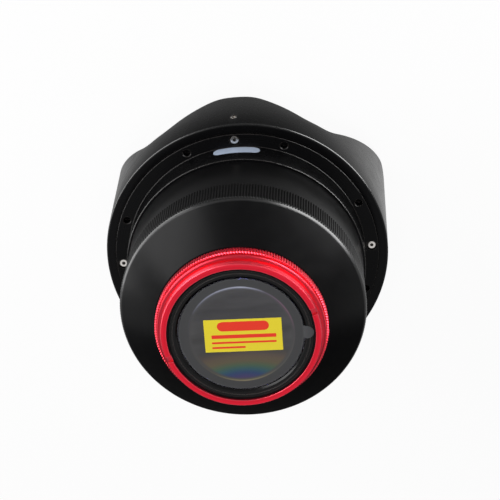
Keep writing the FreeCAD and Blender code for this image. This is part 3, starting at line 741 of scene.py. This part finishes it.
bars = [printed_bar(21.5, 4.4, 0.1, 4.3, True), printed_bar(26.8, 1.7, 0.2, -0.45, False),
        printed_bar(26.8, 0.9, 0.2, -3.3, False), printed_bar(13.8, 0.9, -6.3, -5.6, False)]
deselect_all()
for bar in bars:
    bar.select_set(True)
bpy.context.view_layer.objects.active = bars[0]
bpy.ops.object.join()
bars[0].name = bars[0].data.name = "notice_sticker_print"
finish_piece(bars[0], paper_finish("red_ink", (0.78, 0.035, 0.013, 1)), "sticker_paper")

# Strip on the collar. Pale vinyl with round ends, stuck on the collar's wall beside the top cap screw. It is
# left bare.

coat("label_strip", paper_finish("pale_vinyl", (0.36, 0.43, 0.55, 1)))

# White studio table and surround. The table shows as white and keeps the lens's soft shadow. Its reflection
# has painted shade: black under the hood, dark close round the lens as a painted contact shadow, and darker
# towards the front and to the left, as black cards would make it. The surround is pale grey, and white near
# the horizon.


def background_rays(tree):
    """1 for what the camera sees, by itself, in a polished face or through glass, and 0 for lighting."""
    ray = tree.nodes.new("ShaderNodeLightPath")
    seen = reckoned(tree, "MAXIMUM", ray.outputs["Is Camera Ray"], ray.outputs["Is Glossy Ray"])
    return reckoned(tree, "MAXIMUM", seen, ray.outputs["Is Transmission Ray"])


white = (1, 1, 1, 1)
deselect_all()
bpy.ops.mesh.primitive_plane_add(size=6, location=(0, 0, -0.0005))
floor = bpy.context.object
floor.name = "studio_floor"
table, tree, shader, place = new_finish("white_table")
shader.inputs["Roughness"].default_value = 0.9
glow = tree.nodes.new("ShaderNodeEmission")
glow.inputs["Strength"].default_value = 1
across = split_place(tree, place)
# Painted shade in the table's reflection: none seen under the hood, dark close round the lens, lighter
# farther out, darker towards the front and to the left.
painted_contact_shadow = colour_band(tree, distance(tree, place), 0, 200 * mm, [
    (0.0, 0), (0.25, 0), (0.33, 0.85), (0.5, 0.9), (1.0, 1)])
painted_shade_front_to_back = colour_band(tree, across["Y"], 0, 200 * mm, [
    (0.0, 1), (0.1, 1), (0.3, 0.75), (0.43, 0.5), (0.52, 0.2), (0.6, 0.4), (1.0, 0.5)])
painted_shade_left_to_right = colour_band(tree, across["X"], -90 * mm, 90 * mm, [(0.0, 0.62), (0.5, 0.8), (1.0, 1)])
shaded = mixed(tree, 1, mixed(tree, 1, painted_contact_shadow, painted_shade_front_to_back, "MULTIPLY"), painted_shade_left_to_right, "MULTIPLY")
glossy = tree.nodes.new("ShaderNodeLightPath").outputs["Is Glossy Ray"]
shown = mixed(tree, glossy, white, shaded)
tree.links.new(shown, glow.inputs["Color"])
tree.links.new(mixed(tree, 1, (0.88, 0.88, 0.88, 1), shown, "MULTIPLY"), shader.inputs["Base Color"])
lit_or_glowing = tree.nodes.new("ShaderNodeMixShader")
tree.links.new(reckoned(tree, "MULTIPLY", background_rays(tree), 0.93), lit_or_glowing.inputs["Fac"])
tree.links.new(shader.outputs[0], lit_or_glowing.inputs[1])
tree.links.new(glow.outputs[0], lit_or_glowing.inputs[2])
one_way = tree.nodes.new("ShaderNodeMixShader")
tree.links.new(tree.nodes.new("ShaderNodeNewGeometry").outputs["Backfacing"], one_way.inputs["Fac"])
tree.links.new(lit_or_glowing.outputs[0], one_way.inputs[1])
tree.links.new(tree.nodes.new("ShaderNodeBsdfTransparent").outputs[0], one_way.inputs[2])
tree.links.new(one_way.outputs[0], tree.nodes["Material Output"].inputs["Surface"])
floor.data.materials.append(table)

world = bpy.data.worlds.new("studio")
bpy.context.scene.world = world
world.use_nodes = True
tree = world.node_tree
direction = split_place(tree, tree.nodes.new("ShaderNodeTexCoord").outputs["Generated"])
horizon = colour_band(tree, direction["Z"], 0, 1, [(0.0, 1), (0.17, 1), (0.3, 0), (1.0, 0)])
sweep = mixed(tree, 1, background_rays(tree), horizon, "MULTIPLY")
surround = mixed(tree, sweep, (0.3, 0.3, 0.305, 1), white)
tree.links.new(surround, tree.nodes["Background"].inputs["Color"])
tree.nodes["Background"].inputs["Strength"].default_value = 1

# Lamps and a black card. Soft boxes light the lens from the upper left and from above. The others are thin
# screens that show as gleams in its polish, and the card behind it keeps the far side of the cone dark.


def soft_box(name, azimuth, elevation, distance_out, width, height, watts, lift=0.08, gleam=True):
    """Area lamp that faces the lens from a direction in degrees. A gleam shows in reflections only."""
    turn, rise = math.radians(azimuth), math.radians(elevation)
    away = (math.cos(rise) * math.cos(turn), math.cos(rise) * math.sin(turn), math.sin(rise))
    bpy.ops.object.light_add(type="AREA", location=[part * distance_out for part in away])
    lamp = bpy.context.object
    lamp.name = name
    lamp.location.z += lift
    lamp.rotation_euler = (math.pi / 2 - rise, 0, turn + math.pi / 2)
    lamp.data.shape = "RECTANGLE"
    lamp.data.size = width
    lamp.data.size_y = height
    lamp.data.energy = watts
    lamp.visible_camera = False
    lamp.visible_diffuse = not gleam
    return lamp


soft_box("left_high_box", 143, 26, 1.2, 1.0, 0.4, 8, gleam=False)
soft_box("key_box", 80, 70, 1.4, 0.5, 0.5, 9, gleam=False).visible_glossy = False
soft_box("left_strip", 154, 0, 0.28, 0.36, 0.15, 1.5, lift=0.077)
soft_box("right_strip", 36, 0, 0.28, 0.26, 0.18, 3.2, lift=0.092)
soft_box("left_top_box", 140, 47, 1.2, 0.8, 0.3, 1.5)
soft_box("right_top_box", 18, 52, 1.2, 0.6, 0.3, 0.8)
soft_box("back_top_box", 258, 60, 1.2, 0.8, 0.8, 0.75)
soft_box("front_box", 95, 12, 1.2, 0.7, 0.4, 0.8)

deselect_all()
bpy.ops.mesh.primitive_plane_add(size=1, location=(-0.03, -0.2, 0.12), rotation=(math.pi / 2, 0, 0))
card = bpy.context.object
card.name = "studio_flag"
card.scale = (0.7, 0.24, 1)
card.visible_camera = False
cloth = bpy.data.materials.new("black_cloth")
cloth.use_nodes = True
cloth.node_tree.nodes["Principled BSDF"].inputs["Base Color"].default_value = (0.01, 0.01, 0.01, 1)
cloth.node_tree.nodes["Principled BSDF"].inputs["Roughness"].default_value = 0.9
card.data.materials.append(cloth)

# Camera. It stands in front of the lens and high above it, and looks down on the mount.

camera_data = bpy.data.cameras.new("camera")
camera = bpy.data.objects.new("camera", camera_data)
bpy.context.scene.collection.objects.link(camera)
camera_data.lens = 144
camera_data.sensor_width = 36
camera_data.clip_end = 10
camera.location = (0.06719, 0.39922, 0.86123)
camera.rotation_euler = [math.radians(angle) for angle in (-26.866, 1.874, -5.7)]
bpy.context.scene.camera = camera
bpy.context.scene.view_settings.view_transform = "Standard"
